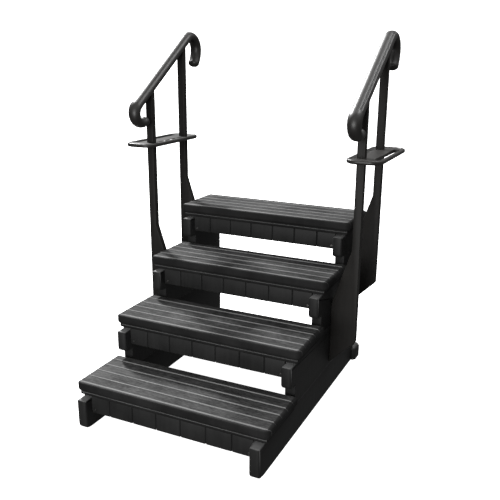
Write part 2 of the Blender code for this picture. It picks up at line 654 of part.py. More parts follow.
def main():
    """Build the ladder with its origin at the middle of its footprint."""
    clear_scene()
    make_material('resin', (0.019, 0.019, 0.019), 0.5, 0)
    make_material('rail_resin', (0.026, 0.023, 0.021), 0.4, 0)
    make_material('steel', (0.25, 0.25, 0.26), 0.35, 1)
    origin = bpy.data.objects.new('ladder_origin', None)
    collections['pool_ladder'].objects.link(origin)
    back = max(point.x for point in rail_path()) + RAIL_RADIUS
    origin.location = (0, -(back - LUG_REACH) / 2, 0)
    make_steps()
    for side_name, side in SIDES.items():
        make_panels(side_name, side)
        make_rear_foot(side_name, side)
        make_rail(side_name, side)
        make_posts(side_name, side)
        make_tray(side_name, side)
    bpy.context.view_layer.update()


main()
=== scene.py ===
import math

import bmesh
import bpy
import numpy as np
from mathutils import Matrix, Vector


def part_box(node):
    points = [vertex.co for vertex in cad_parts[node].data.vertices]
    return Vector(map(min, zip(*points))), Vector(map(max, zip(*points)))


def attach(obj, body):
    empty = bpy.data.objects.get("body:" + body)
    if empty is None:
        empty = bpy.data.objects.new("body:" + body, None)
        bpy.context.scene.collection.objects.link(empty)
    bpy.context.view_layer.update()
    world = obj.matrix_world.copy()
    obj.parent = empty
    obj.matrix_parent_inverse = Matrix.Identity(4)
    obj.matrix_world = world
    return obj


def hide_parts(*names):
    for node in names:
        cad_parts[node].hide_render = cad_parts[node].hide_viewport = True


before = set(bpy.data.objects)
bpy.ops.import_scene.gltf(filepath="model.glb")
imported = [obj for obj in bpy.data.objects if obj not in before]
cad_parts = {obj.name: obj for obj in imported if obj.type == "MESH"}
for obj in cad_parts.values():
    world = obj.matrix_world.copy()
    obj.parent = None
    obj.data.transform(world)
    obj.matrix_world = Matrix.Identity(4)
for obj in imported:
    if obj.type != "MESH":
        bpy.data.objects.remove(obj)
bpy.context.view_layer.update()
print("frame loaded:", len(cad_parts), "nodes")

sides = {"left": -1, "right": 1}
levels = (1, 2, 3, 4)
places = {"front": 3, "rear": 4}          # which step each post stands beside

# ---- what the frame says about the layout

layout = {
    "nose": 0.013,                        # how far the tread's rounded edge stands out
    "ridge": 0.0025,                      # height of the ridges over the deck
}
lowTread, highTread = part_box("tread_1")
secondLow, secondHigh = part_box("tread_2")
halfWidth = highTread.x - layout["nose"]
frontY = lowTread.y + layout["nose"]
treadDepth = highTread.y - frontY
rise = secondHigh.z - highTread.z
run = secondLow.y - lowTread.y


def topOf(level):
    # height of a tread's deck: its box's top less the ridges
    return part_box(f"tread_{level}")[1].z - layout["ridge"]


def frontOf(level):
    # y of a tread's skirt in front: the first one's, one run further back for each step
    return frontY + (level - 1) * run


# ---- camera, at the height of a standing person to the front and right

camera = {
    "place": (1.371, frontY - 2.080, 1.6215),
    "turn": (73.29, -0.32, 25.57),        # degrees
    "lens": 47.73,
    "sensor": 36.0,
}


def addCamera():
    # one camera from the values above, turned about x, y and z
    data = bpy.data.cameras.new("camera")
    data.lens = camera["lens"]
    data.sensor_width = camera["sensor"]
    item = bpy.data.objects.new("camera", data)
    bpy.context.scene.collection.objects.link(item)
    item.location = camera["place"]
    item.rotation_euler = [math.radians(turn) for turn in camera["turn"]]
    bpy.context.scene.camera = item


addCamera()
print("camera placed")

# ---- shader maths: one class wraps a socket, so that sums and products write their own nodes


class Value:
    def __init__(self, tree, socket):
        self.tree = tree
        self.socket = socket

    def maths(self, operation, first, second):
        # one Math node: first and second are each a number or a Value
        return make(self.tree, "ShaderNodeMath", {"operation": operation}, {0: first, 1: second})

    def __add__(self, other):
        return self.maths("ADD", self, other)

    def __radd__(self, other):
        return self.maths("ADD", other, self)

    def __rsub__(self, other):
        return self.maths("SUBTRACT", other, self)

    def __mul__(self, other):
        return self.maths("MULTIPLY", self, other)

    def __rmul__(self, other):
        return self.maths("MULTIPLY", other, self)

    def between(self, low, high):
        # 0 below low, 1 above high, straight in between
        inputs = {0: self, 1: low, 2: high, 3: 0.0, 4: 1.0}
        return make(self.tree, "ShaderNodeMapRange", {"clamp": True}, inputs)


def make(tree, kind, settings=None, inputs=None, output=0):
    # any node: its settings first, then the values or links of its sockets
    item = tree.nodes.new(kind)
    for key, setting in (settings or {}).items():
        setattr(item, key, setting)
    for key, given in (inputs or {}).items():
        if isinstance(given, Value):
            tree.links.new(given.socket, item.inputs[key])
        else:
            item.inputs[key].default_value = given
    return Value(tree, item.outputs[output])


def mixColours(tree, factor, first, second):
    # first at factor 0, second at factor 1
    inputs = {0: factor, 6: first, 7: second}
    return make(tree, "ShaderNodeMix", {"data_type": "RGBA", "clamp_factor": True}, inputs, 2)


def grey(level, warmth=0.0):
    # a grey, with red raised and blue lowered by the warmth's share
    return (level * (1 + warmth), level, level * (1 - warmth), 1.0)


def place(tree, stretch):
    # object coordinates, times a factor along each axis
    spot = make(tree, "ShaderNodeTexCoord", output=3)
    return make(tree, "ShaderNodeVectorMath", {"operation": "MULTIPLY"}, {0: spot, 1: stretch})


def noise(tree, scale, detail, roughness, stretch=(1, 1, 1)):
    # cloudy noise of so many cells per metre, finer along an axis with a larger stretch
    inputs = {"Vector": place(tree, stretch), "Scale": scale, "Detail": detail, "Roughness": roughness}
    return make(tree, "ShaderNodeTexNoise", {"noise_dimensions": "3D"}, inputs)


def attribute(tree, name):
    # a number that the mesh holds at each point
    return make(tree, "ShaderNodeAttribute", {"attribute_name": name}, output=2)


def startMaterial(name, fixed):
    # a new material whose shader's fixed values are set on its own sockets
    material = bpy.data.materials.new(name)
    material.use_nodes = True
    shader = material.node_tree.nodes["Principled BSDF"]
    for key, setting in fixed.items():
        shader.inputs[key].default_value = setting
    return material, material.node_tree, shader


def finishMaterial(tree, shader, colour, roughness, height, depth):
    # colour, roughness and a bump of this depth in metres go to the shader
    bump = make(tree, "ShaderNodeBump", None, {"Strength": 1.0, "Distance": depth, "Height": height})
    tree.links.new(colour.socket, shader.inputs["Base Color"])
    tree.links.new(roughness.socket, shader.inputs["Roughness"])
    tree.links.new(bump.socket, shader.inputs["Normal"])


# ---- materials

resinLook = {
    "dark": 0.0130,
    "light": 0.0240,
    "warmth": 0.0,
    "topHighlight": 0.20,                      # painted highlight: tone of faces that point upward
    "gloss": 0.20,
    "roughLow": 0.42,
    "roughHigh": 0.62,
    "grain": 700.0,                       # cells per metre of the moulded grain
    "grainDepth": 0.00012,
}
postLook = {**resinLook, "dark": 0.0125, "light": 0.0210, "warmth": 0.07, "topHighlight": 0.05, "gloss": 0.20}


def makeResin(name, look):
    # near-black moulded resin: cloudy tone, fine pebbled grain, faint upright drag marks, and a painted
    # highlight on faces that point upward
    material, tree, shader = startMaterial(name, {"Specular IOR Level": look["gloss"]})
    clouds = noise(tree, 5.0, 4.0, 0.6)
    drag = noise(tree, 60.0, 2.0, 0.5, (1, 1, 0.08))
    pebbles = noise(tree, look["grain"], 2.0, 0.6)
    tone = (clouds * 0.7 + drag * 0.3).between(0.35, 0.68)
    colour = mixColours(tree, tone, grey(look["dark"], look["warmth"]), grey(look["light"], look["warmth"]))
    # painted highlight: faces that point upward are lightened as if lit from above
    paintedHighlight = attribute(tree, "upwardHighlight") * (0.5 + 0.5 * clouds)
    colour = mixColours(tree, paintedHighlight, colour, grey(look["topHighlight"], look["warmth"]))
    spread = look["roughHigh"] - look["roughLow"]
    roughness = look["roughLow"] + spread * (0.6 * tone + 0.4 * pebbles)
    height = pebbles * 0.7 + drag * 0.3
    finishMaterial(tree, shader, colour, roughness, height, look["grainDepth"])
    return material


deckLook = {
    "dark": 0.015,
    "light": 0.080,
    # tone of the painted highlight along the strips' raised edges and the lip
    "crestHighlight": 0.260,
    "gloss": 0.10,
    "roughLow": 0.46,
    "roughHigh": 0.66,
    "grainDepth": 0.00040,
}


def makeDeck():
    # tread: grained along its length and scuffed pale on top, with a pale painted highlight along each strip's
    # raised edge
    material, tree, shader = startMaterial("tread_resin", {"Specular IOR Level": deckLook["gloss"]})
    deck = attribute(tree, "deck")
    crestHighlight = attribute(tree, "crestHighlight")
    clouds = noise(tree, 7.0, 4.0, 0.6)
    streaks = noise(tree, 30.0, 4.0, 0.65, (0.25, 4.0, 1.0))
    fibres = noise(tree, 110.0, 3.0, 0.7, (0.45, 2.2, 1.0))
    pebbles = noise(tree, resinLook["grain"], 2.0, 0.6)
    body = mixColours(tree, clouds.between(0.35, 0.68), grey(resinLook["dark"]), grey(resinLook["light"]))
    scuff = (clouds * 0.3 + streaks * 0.3 + fibres * 0.4).between(0.41, 0.59)
    top = mixColours(tree, scuff, grey(deckLook["dark"]), grey(deckLook["light"]))
    colour = mixColours(tree, deck, body, top)
    # painted highlight along each strip's raised edge and the lip's top edge, as if they caught the light
    paintedHighlight = crestHighlight * (0.6 + 0.4 * streaks.between(0.3, 0.7))
    colour = mixColours(tree, paintedHighlight, colour, grey(deckLook["crestHighlight"]))
    spread = deckLook["roughHigh"] - deckLook["roughLow"]
    roughness = deckLook["roughLow"] + spread * (1.0 - 0.5 * scuff * deck) * (0.6 + 0.4 * fibres)
    height = deck * (streaks * 0.4 + fibres * 0.6) + (1.0 - deck) * pebbles * 0.4
    finishMaterial(tree, shader, colour, roughness, height, deckLook["grainDepth"])
    return material


railLook = {
    "dark": 0.011,
    "light": 0.020,
    "warmth": 0.08,
    "gloss": 0.6,
    "roughLow": 0.36,
    "roughHigh": 0.50,
    "grainDepth": 0.00006,
}


def makeRailResin():
    # smoother satin resin, slightly warm, with faint flow marks
    material, tree, shader = startMaterial("rail_resin", {"Specular IOR Level": railLook["gloss"]})
    clouds = noise(tree, 9.0, 4.0, 0.6)
    marks = noise(tree, 120.0, 3.0, 0.6, (1, 0.25, 0.25))
    fine = noise(tree, 900.0, 1.0, 0.5)
    tone = (clouds * 0.6 + marks * 0.4).between(0.35, 0.66)
    dark = grey(railLook["dark"], railLook["warmth"])
    light = grey(railLook["light"], railLook["warmth"])
    colour = mixColours(tree, tone, dark, light)
    spread = railLook["roughHigh"] - railLook["roughLow"]
    roughness = railLook["roughLow"] + spread * (0.5 * marks + 0.5 * clouds)
    finishMaterial(tree, shader, colour, roughness, marks * 0.5 + fine * 0.5, railLook["grainDepth"])
    return material


steelLook = {"tone": 0.16, "stain": 0.06, "roughLow": 0.28, "roughHigh": 0.50, "grainDepth": 0.00003}


def makeSteel():
    # plain screw steel with turning marks and a little stain
    material, tree, shader = startMaterial("screw_steel", {"Metallic": 1.0})
    stain = noise(tree, 140.0, 3.0, 0.6)
    marks = noise(tree, 1500.0, 1.0, 0.5)
    colour = mixColours(tree, stain.between(0.4, 0.7), grey(steelLook["tone"]), grey(steelLook["stain"], 0.1))
    spread = steelLook["roughHigh"] - steelLook["roughLow"]
    roughness = steelLook["roughLow"] + spread * stain
    finishMaterial(tree, shader, colour, roughness, marks, steelLook["grainDepth"])
    return material


resin = makeResin("moulded_resin", resinLook)
postResin = makeResin("post_resin", postLook)
deckResin = makeDeck()
railResin = makeRailResin()
steel = makeSteel()
print("materials made")

# ---- making meshes from whole arrays of points


def tidyMesh(mesh, weld, sharpAngle):
    # merge doubled points, turn the faces outwards, smooth all but the sharp edges
    work = bmesh.new()
    work.from_mesh(mesh)
    bmesh.ops.remove_doubles(work, verts=work.verts, dist=weld)
    bmesh.ops.dissolve_degenerate(work, edges=work.edges, dist=weld)
    bmesh.ops.recalc_face_normals(work, faces=work.faces)
    work.to_mesh(mesh)
    work.free()
    mesh.shade_smooth()
    mesh.set_sharp_from_angle(angle=math.radians(sharpAngle))


def gridFaces(rows, columns, closeRows, closeColumns):
    # quads of a grid of points, numbered row by row, wrapping where it is closed
    down = np.arange(rows if closeRows else rows - 1)
    across = np.arange(columns if closeColumns else columns - 1)
    row, column = np.meshgrid(down, across, indexing="ij")
    nextRow = (row + 1) % rows
    nextColumn = (column + 1) % columns
    corners = [row * columns + column, nextRow * columns + column,
               nextRow * columns + nextColumn, row * columns + nextColumn]
    return np.stack(corners, -1).reshape(-1, 4)


def addSurface(name, points, material, closeRows=False, values=None, weld=0.00002, sharpAngle=38):
    # a grid of points (rows, columns, 3) as a closed piece: each row is a loop, and caps fill the end rows
    rows, columns = points.shape[:2]
    faces = gridFaces(rows, columns, closeRows, True).tolist()
    if not closeRows:
        faces.append(list(range(columns)))
        faces.append(list(range((rows - 1) * columns, rows * columns)))
    mesh = bpy.data.meshes.new(name)
    mesh.from_pydata(points.reshape(-1, 3).tolist(), [], faces)
    for key, value in (values or {}).items():
        layer = mesh.attributes.new(key, "FLOAT", "POINT")
        layer.data.foreach_set("value", value.reshape(-1).astype(np.float32))
    tidyMesh(mesh, weld, sharpAngle)
    mesh.materials.append(material)
    return addPiece(name, mesh)


def addPiece(name, mesh):
    # puts a mesh in the scene
    item = bpy.data.objects.new(name, mesh)
    bpy.context.scene.collection.objects.link(item)
    return item


def settle(item, *nodes):
    # the ladder is one body; the piece stands for these nodes of the frame
    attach(item, "root")
    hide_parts(*nodes)


def smooth(value):
    # eases 0 to 1: three times the square less twice the cube
    value = np.clip(value, 0, 1)
    return value * value * (3 - 2 * value)


def mirrored(stations):
    # the stations and their negatives, in rising order
    return np.concatenate([-stations[::-1], stations[stations > 0]])


# ---- treads

tread = {
    "strips": 5,
    "backStrip": 0.048,                   # depth of the last strip
    "noseHeight": 0.042,
    "skirtHeight": 0.062,
    "undercut": 0.003,
    "lipHeight": 0.014,
    "deckThickness": 0.012,
    "wall": 0.007,
    "cornerRadius": 0.025,
    "edgeRadius": 0.006,                  # top edge of the nose
    "lipEdge": 0.0012,                    # chamfer of the lip and of the wall's foot
    "backDrop": 0.0040,                   # how far below the deck the back face starts
    "noseFlat": 0.003,                    # flat on top behind the nose's round
    # share of painted highlight along the lip's top edge
    "lipHighlight": 0.8,
    "saw": 0.005,                         # how much shorter a strip is behind than in front
    "squeezed": 0.045,                    # depth over which the rounded corner is taken up
    "ridgeFade": 0.004,                   # length over which a ridge dies away past its strip's end
    "hollowLift": 0.001,                  # closed end of the hollow, above the skirt's foot
}
# stations near a tread's end: distance past the skirt's end, close together where the section turns
endStations = np.array([-0.020, -0.014, -0.010, -0.00705, -0.00695, -0.005, -0.0035, -0.002, -0.001, -0.0001])
noseTurns = np.array([1, 12, 24, 36, 48, 60, 70, 80, 90])          # degrees round the nose's end
# raised edge of a strip: distance behind its front, height, and share of painted highlight on it
edgeShape = np.array([
    (0.0000, -0.0012, 0.0), (0.0006, 0.0002, 0.8), (0.0014, 0.0012, 1.0), (0.0025, 0.0020, 1.0),
    (0.0038, 0.0024, 1.0), (0.0052, 0.0020, 0.9), (0.0066, 0.0010, 0.4), (0.0084, 0.0003, 0.1),
    (0.0120, 0.0000, 0.0),
])
tailShape = np.array([(-0.0040, -0.0005, 0.0), (-0.0015, -0.0008, 0.0), (-0.0005, -0.0012, 0.0)])


def deckProfile():
    # over each strip: up the raised front edge, gently down to its back, and into the groove
    pitch = (treadDepth - tread["backStrip"]) / (tread["strips"] - 1)
    parts = []
    for index in range(tread["strips"]):
        start = index * pitch
        length = pitch if index < tread["strips"] - 1 else tread["backStrip"]
        head = edgeShape[1 if index == 0 else 0:] + (start, 0, 0)
        tail = tailShape + (start + length, 0, 0)
        along = np.concatenate([head, tail])
        back = (along[:, 0] - start) / length
        parts.append(np.column_stack([along, back]))
    return np.concatenate(parts)


def arc(centreY, centreZ, radius, start, end, count):
    # points on a circle: centre plus radius times cosine and sine, from start to end in degrees
    angle = np.radians(np.linspace(start, end, count))
    return np.column_stack([centreY + radius * np.cos(angle), centreZ + radius * np.sin(angle)])


def treadSection():
    # closed loop in (y, z) from the deck's front edge, over the top, down the back, under, and up the nose
    deck = deckProfile()
    nose = layout["nose"]
    noseLow = -tread["noseHeight"]
    low = -tread["skirtHeight"]
    cut = tread["undercut"]
    wall = tread["wall"]
    lipTop = low + tread["lipHeight"]
    back = treadDepth
    under = -tread["deckThickness"]
    edge = tread["lipEdge"]
    behind = np.array([
        (back, -tread["backDrop"]), (back, noseLow), (back - cut, noseLow), (back - cut, lipTop),
        (back, lipTop - edge), (back, low + edge), (back - edge, low), (back - wall + edge, low),
        (back - wall, low + edge), (back - wall, under), (wall, under), (wall, low + edge), (wall - edge, low),
        (edge, low), (0, low + edge), (0, lipTop - 3 * edge), (0, lipTop - edge), (cut, lipTop), (cut, noseLow),
    ])
    tight = tread["edgeRadius"]
    front = np.concatenate([arc(0, noseLow + nose, nose, 270, 180, 7),
                            arc(tight - nose, -tight, tight, 180, 90, 7), [(-tread["noseFlat"], 0)]])
    loop = np.concatenate([deck[:, :2], behind, front])
    count = len(deck)
    paintedHighlight = np.zeros(len(loop))
    paintedHighlight[:count] = deck[:, 2]
    # painted highlight along the lip's top edge
    paintedHighlight[(loop[:, 1] == lipTop - edge) & (loop[:, 0] < 0.01)] = tread["lipHighlight"]
    fraction = np.zeros(len(loop))
    fraction[:count] = deck[:, 3]
    isDeck = np.zeros(len(loop))
    isDeck[:count] = 1
    return loop, paintedHighlight, fraction, isDeck


def makeTread(level):
    # the section carried along x; past each end the nose turns down and in as a quarter circle
    loop, paintedHighlight, fraction, isDeck = treadSection()
    nose = layout["nose"]
    beyond = nose * np.sin(np.radians(noseTurns))
    inner = np.linspace(0, halfWidth - 0.03, 8)
    stations = mirrored(np.concatenate([inner, halfWidth + endStations, halfWidth + beyond]))
    x = stations[:, None]
    y = np.broadcast_to(loop[:, 0], (len(stations), len(loop))).copy()
    z = np.broadcast_to(loop[:, 1], y.shape).copy()
    reach = np.abs(x) - halfWidth
    # the hollow under the deck stops at the end walls
    hollow = (z == -tread["deckThickness"]) & (reach > -tread["wall"])
    z = np.where(hollow, -tread["skirtHeight"] + tread["hollowLift"], z)
    # the skirt stops at the tread's end, and the nose's underside curls up
    turn = np.sqrt(1 - np.clip(reach / nose, 0, 1) ** 2)
    noseLow = -tread["noseHeight"] + nose * (1 - turn)
    z = np.where(reach > 0, np.maximum(z, noseLow), z)
    # each strip ends a little sooner at its back than at its front, and its end is rounded off
    over = np.abs(x) - (halfWidth - tread["saw"] * fraction)
    span = nose + tread["saw"] * fraction
    drop = nose * (1 - np.sqrt(1 - np.clip(over / span, 0, 1) ** 2))
    ridge = np.maximum(z, 0) * (1 - np.clip(over / tread["ridgeFade"], 0, 1))
    z = np.where(over > 0, np.minimum(z, ridge - drop), z)
    # rounded corner in plan, taken up by the first strip
    radius = tread["cornerRadius"]
    into = np.clip(np.abs(x) - (halfWidth + nose - radius), 0, radius)
    shift = radius - np.sqrt(radius ** 2 - into ** 2)
    take = tread["squeezed"]
    squeeze = (take + nose - shift) / (take + nose)
    y = np.where(y < take, take - (take - y) * squeeze, y)
    shown = isDeck[None, :] * (over < 0.003)
    # painted highlight where the ridges run full height, and along the lip
    highlightHere = paintedHighlight[None, :] * ((over < 0.001) | (paintedHighlight == tread["lipHighlight"]))
    points = np.stack([np.broadcast_to(x, y.shape), y + frontOf(level), z + topOf(level)], -1)
    values = {"deck": shown.astype(float), "crestHighlight": highlightHere.astype(float)}
    item = addSurface(f"tread_{level}_deck", points, deckResin, values=values, sharpAngle=50)
    settle(item, f"tread_{level}")


for level in levels:
    makeTread(level)
print("treads made")

# ---- risers: beams whose faces are parted into blocks

riser = {
    "pitch": 0.121,
    "blockReach": 0.007,
    "groove": 0.0042,                     # half of a groove's width
    "grooveDepth": 0.0052,
    "rounding": 0.0022,
    "endRound": 0.002,                    # length over which the face falls back at each end
    "endDepth": 0.0012,
    "topGap": 0.0005,                     # clear of the tread's skirt
    "plateStep": 0.0003,
}
# stations across a groove, as shares of half its width
grooveStations = np.array([-1.6, -1, -0.8, -0.6, -0.35, 0, 0.35, 0.6, 0.8, 1, 1.6])


def grooveDepth(x, centres):
    # depth of the face at x: eased from 0 at a groove's edge to its full depth in the middle
    away = np.abs(x[:, None] - centres[None, :]).min(1)
    return riser["grooveDepth"] * smooth(1 - away / riser["groove"])


def makeRiser(level):
    # a section in (y, z) carried along x, its face pushed back in each groove
    low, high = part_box(f"riser_{level}")
    half = high.x
    count = int(2 * half / riser["pitch"])
    centres = (np.arange(count) - (count - 1) / 2) * riser["pitch"]
    offsets = riser["groove"] * grooveStations
    ends = half - np.array([0, 0.0006, riser["endRound"], 0.006])
    stations = np.concatenate([-ends, ends, (centres[:, None] + offsets[None, :]).ravel()])
    stations = np.unique(np.round(stations, 6))
    pushed = grooveDepth(stations, centres)
    ending = np.clip((np.abs(stations) - half + riser["endRound"]) / riser["endRound"], 0, 1)
    pushed = pushed + riser["endDepth"] * ending ** 2
    face = low.y + pushed[:, None]
    plate = low.y + riser["blockReach"]
    blockTop = topOf(level) - tread["skirtHeight"] - riser["topGap"]
    r = riser["rounding"]
    third = 0.3 * r                       # makes a two-step round at each corner
    one = np.ones_like(face)
    y = np.hstack([one * high.y, one * plate, one * plate, face + r, face + third, face, face, face + third,
                   face + r, one * (high.y - r), one * (high.y - third), one * high.y])
    z = np.array([high.z, high.z, blockTop + riser["plateStep"], blockTop, blockTop - third, blockTop - r,
                  low.z + r, low.z + third, low.z, low.z, low.z + third, low.z + r])
    z = np.broadcast_to(z, y.shape)
    x = np.broadcast_to(stations[:, None], y.shape)
    item = addSurface(f"riser_{level}_blocks", np.stack([x, y, z], -1), resin)
    settle(item, f"riser_{level}")


for level in levels:
    makeRiser(level)
print("risers made")

# ---- frame pieces whose shape is right already, with their edges rounded off

softening = {
    "side_panel": 0.0090,
    "seam": 0.20,                         # share of that rounding away from the lugs
    "rear_foot": 0.0020,
    "post": 0.0032,
    "crossbar": 0.0025,
    "stiffener": 0.0025,
    "flatAngle": 0.5,                     # degrees: faces nearer in angle than this become one
    "sharpAngle": 40,                     # degrees: edges sharper than this are rounded
    "ahead": 0.004,                       # behind the skirt's front, edges still count as the lug's
    "segments": 3,
}


def cornerAngles(mesh):
    # angle between the two faces at each edge
    work = bmesh.new()
    work.from_mesh(mesh)
    angles = np.array([edge.calc_face_angle(0.0) for edge in work.edges])
    work.free()
    return angles


def lugWeight(level):
    # full weight ahead of the tread's front edge, a share of it elsewhere
    def weigh(middles):
        return np.where(middles[:, 1] < frontOf(level) + softening["ahead"], 1.0, softening["seam"])
    return weigh


def softCopy(node, width, material, weigh=None):
    # a merged copy of the node's mesh with rounded edges, as wide at each edge as its weight says
    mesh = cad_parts[node].data.copy()
    work = bmesh.new()
    work.from_mesh(mesh)
    bmesh.ops.remove_doubles(work, verts=work.verts, dist=0.00001)
    flat = math.radians(softening["flatAngle"])
    bmesh.ops.dissolve_limit(work, angle_limit=flat, verts=work.verts, edges=work.edges)
    work.to_mesh(mesh)
    work.free()
    mesh.materials.clear()
    mesh.materials.append(material)
    sharpest = math.radians(softening["sharpAngle"])
    if weigh:
        spots = np.zeros(len(mesh.vertices) * 3)
        mesh.vertices.foreach_get("co", spots)
        ends = np.zeros(len(mesh.edges) * 2, int)
        mesh.edges.foreach_get("vertices", ends)
        middles = spots.reshape(-1, 3)[ends.reshape(-1, 2)].mean(1)
        sharp = cornerAngles(mesh) > sharpest
        layer = mesh.attributes.new("bevel_weight_edge", "FLOAT", "EDGE")
        layer.data.foreach_set("value", (weigh(middles) * sharp).astype(np.float32))
    item = addPiece(f"{node}_moulding", mesh)
    rounding = item.modifiers.new("rounding", "BEVEL")
    rounding.width = width
    rounding.segments = softening["segments"]
    rounding.limit_method = "WEIGHT" if weigh else "ANGLE"
    rounding.angle_limit = sharpest
    rounding.harden_normals = True
    rounding.use_clamp_overlap = False
    mesh.shade_smooth()
    bpy.context.view_layer.update()
    shape = bpy.data.meshes.new_from_object(item.evaluated_get(bpy.context.evaluated_depsgraph_get()))
    item.modifiers.clear()
    item.data = shape
    # mask of the painted highlight on upward faces: 0 where the surface stands, 1 where it lies
    normals = np.zeros(len(shape.vertices) * 3)
    shape.vertices.foreach_get("normal", normals)
    layer = shape.attributes.new("upwardHighlight", "FLOAT", "POINT")
    layer.data.foreach_set("value", smooth((normals[2::3] - 0.5) / 0.4).astype(np.float32))
    settle(item, node)


for side in sides:
    for level in levels:
        softCopy(f"{side}_side_panel_{level}", softening["side_panel"], resin, lugWeight(level))
    softCopy(f"{side}_rear_foot", softening["rear_foot"], resin)
    for placeName in places:
        softCopy(f"{side}_{placeName}_post", softening["post"], postResin)
for level in levels:
    softCopy(f"rear_crossbar_{level}", softening["crossbar"], resin)
    softCopy(f"tread_stiffener_{level}", softening["stiffener"], resin)
print("side frames and posts made")

# ---- handrails

rail = {
    "radius": 0.0240,
    "widening": 1.28,                     # width over height
    "height": 0.822,                      # middle of the rail above the tread beside a post
    "postSetback": 0.160,
    "frontReach": 0.119,
    "backReach": 0.050,
    "scroll": 0.068,
    "scrollTail": 0.110,
    "scrollEnd": -38,
    "bend": 0.046,
    "hook": 0.055,
    "hookStart": 220,
    "hookEnd": 292,
    "step": 0.004,                        # spacing of the stations along the path
    "round": 112,                         # points round the section
    "grooveAt": 40,                       # degrees outboard of the top
    "grooveWidth": 9,
    "grooveDepth": 0.0026,
    "beadAt": 56,
    "beadHeight": 0.0008,
    "grooveLead": 0.012,                  # straight rail left plain before the groove
    "grooveOpens": 0.006,
    "grooveCloses": 0.030,
    "swell": 0.0012,                      # extra radius of the lower bend
    "swellBack": 0.020,                   # its middle, before the end of the bend
    "swellLength": 0.035,
}
pitchAngle = math.atan2(rise, run)
railPlane = (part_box("right_handrail")[0].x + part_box("right_handrail")[1].x) / 2


def postY(level):
    # y of a post's middle, a fixed distance behind its tread's front
    return frontOf(level) + rail["postSetback"]


def arcPath(centre, radius, start, end):
    # points on a circle from one angle to another in radians, one for every three degrees
    count = max(12, int(abs(end - start) / math.radians(3)))
    angle = np.linspace(start, end, count)
    return np.column_stack([centre[0] + radius * np.cos(angle), centre[1] + radius * np.sin(angle)])


def railPath():
    # middle line in (y, z): hook, lower bend, straight rail, scroll and its tail, evenly spaced
    first, last = places["front"], places["rear"]
    slope = math.tan(pitchAngle)
    inward = np.array([math.sin(pitchAngle), -math.cos(pitchAngle)])
    joint = pitchAngle + math.pi / 2
    base = topOf(first) + rail["height"]
    front = np.array([postY(first) - rail["frontReach"], base - rail["frontReach"] * slope])
    backRun = (last - first) * run + rail["backReach"]
    back = np.array([postY(first) + backRun, base + backRun * slope])
    bend = front + inward * rail["bend"]
    hookStart, hookEnd = math.radians(rail["hookStart"]), math.radians(rail["hookEnd"])
    way = np.array([math.cos(hookStart), math.sin(hookStart)])
    hook = bend + way * (rail["bend"] - rail["hook"])
    scroll = back + inward * rail["scroll"]
    tail = scroll + np.array([rail["scroll"] - rail["scrollTail"], 0])
    pieces = [arcPath(hook, rail["hook"], hookEnd, hookStart),
              arcPath(bend, rail["bend"], hookStart, joint)[1:],
              arcPath(scroll, rail["scroll"], joint, 0),
              arcPath(tail, rail["scrollTail"], 0, math.radians(rail["scrollEnd"]))[1:]]
    path = np.concatenate(pieces)
    length = np.concatenate([[0], np.cumsum(np.linalg.norm(np.diff(path, axis=0), axis=1))])
    straight = len(pieces[0]) + len(pieces[1])
    bendEnd, scrollStart = length[straight - 1], length[straight]
    along = np.linspace(0, length[-1], int(length[-1] / rail["step"]))
    even = np.column_stack([np.interp(along, length, path[:, 0]), np.interp(along, length, path[:, 1])])
    return even, along, bendEnd, scrollStart


def makeRail(sideName, side):
    # a round section carried along the path, pressed in along one groove and raised in a bead beside it
    path, along, bendEnd, scrollStart = railPath()
    step = np.gradient(path, axis=0)
    tangent = step / np.linalg.norm(step, axis=1)[:, None]
    outward = np.column_stack([-tangent[:, 1], tangent[:, 0]])
    angle = np.linspace(0, 2 * np.pi, rail["round"], endpoint=False)
    degrees = np.degrees(angle)
    grooveStart, grooveEnd = bendEnd + rail["grooveLead"], scrollStart + rail["scroll"] * 0.9
    shown = smooth((along - grooveStart) / rail["grooveOpens"])
    shown = shown * smooth((grooveEnd - along) / rail["grooveCloses"])
    groove = smooth(1 - np.abs(degrees - rail["grooveAt"]) / rail["grooveWidth"])
    bead = smooth(1 - np.abs(degrees - rail["beadAt"]) / rail["grooveWidth"])
    bendMiddle = bendEnd - rail["swellBack"]
    swell = rail["swell"] * np.exp(-((along - bendMiddle) / rail["swellLength"]) ** 2)
    relief = rail["beadHeight"] * bead - rail["grooveDepth"] * groove
    radius = rail["radius"] + swell[:, None] + shown[:, None] * relief
    x = side * (railPlane + rail["widening"] * radius * np.sin(angle))
    lift = radius * np.cos(angle)
    y = path[:, :1] + lift * outward[:, :1]
    z = path[:, 1:] + lift * outward[:, 1:]
    item = addSurface(f"{sideName}_grip_rail", np.stack([x, y, z], -1), railResin, sharpAngle=45)
    settle(item, f"{sideName}_handrail")
    for endName, spot, way in (("lower", path[0], -tangent[0]), ("upper", path[-1], tangent[-1])):
        makeRailEnd(sideName, side, endName, spot, way)


railEnd = {
    "collarLength": 0.004,
    "bulge": 1.02,                        # collar's radius over the rail's
    "rows": 14,
    "round": 64,
    "axis": 0.00001,                      # radius at which the dome is closed
}
# the spigot inside the rail and the collar's rounded edge: distance along, and share of the rail's radius
spigot = ((-0.004, 0.9), (0.0, 0.96), (0.0004, 0.985), (0.0015, railEnd["bulge"]))


